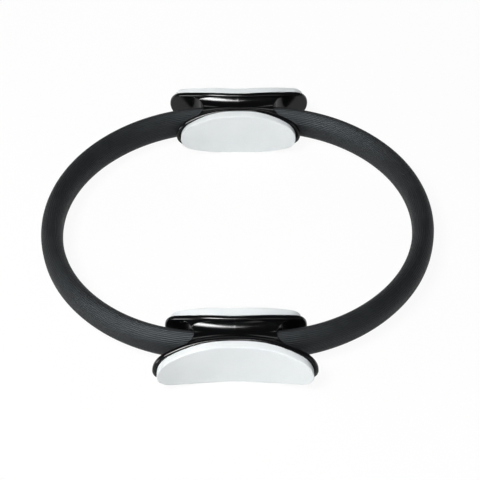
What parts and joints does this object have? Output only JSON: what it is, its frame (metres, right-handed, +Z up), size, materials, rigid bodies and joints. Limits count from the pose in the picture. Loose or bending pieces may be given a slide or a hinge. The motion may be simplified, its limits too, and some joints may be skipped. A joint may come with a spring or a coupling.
{
  "type": "pilates ring",
  "caption": "Springy oval exercise ring in a ribbed sleeve, with concave padded spool handles facing each other that are squeezed together or pressed apart.",
  "frame": {"origin": "centre of the ring, on the flat surface that it lies on", "axes": "+Z up along the ring's own axis, Y through the two handles with the far one at +Y, X across the hoop"},
  "size_m": [0.3796, 0.3728, 0.0512],
  "materials": {
    "sleeve": "matt, finely ribbed",
    "shell": "glossy moulded black",
    "pad": "soft matt foam",
    "strip": "glass-fibre laminate",
    "steel": "zinc plated"
  },
  "bodies": {
    "hoop": {"core_left": "strip", "core_right": "strip", "sleeve_left": "sleeve", "sleeve_right": "sleeve"},
    "far_handle": {"far_outer_shell": "shell", "far_inner_shell": "shell", "far_outer_pad": "pad", "far_inner_pad": "pad", "far_splice_plate": "steel", "far_splice_rivets": "steel", "far_shell_screws": "steel"},
    "near_handle": {"near_outer_shell": "shell", "near_inner_shell": "shell", "near_outer_pad": "pad", "near_inner_pad": "pad", "near_splice_plate": "steel", "near_splice_rivets": "steel", "near_shell_screws": "steel"}
  },
  "joints": [
    {"name": "far_squeeze", "type": "slide", "parent": "hoop", "child": "far_handle", "axis": [0, -1, 0], "range_m": [-0.01, 0.03], "stiffness_N_per_m": 5000, "deforming": ["core_left", "core_right", "sleeve_left", "sleeve_right"]},
    {"name": "near_squeeze", "type": "slide", "parent": "hoop", "child": "near_handle", "axis": [0, 1, 0], "range_m": [-0.01, 0.03], "stiffness_N_per_m": 5000, "deforming": ["core_left", "core_right", "sleeve_left", "sleeve_right"]}
  ],
  "couplings": [
    {"joint": "near_squeeze", "follows": "far_squeeze", "ratio": 1}
  ]
}
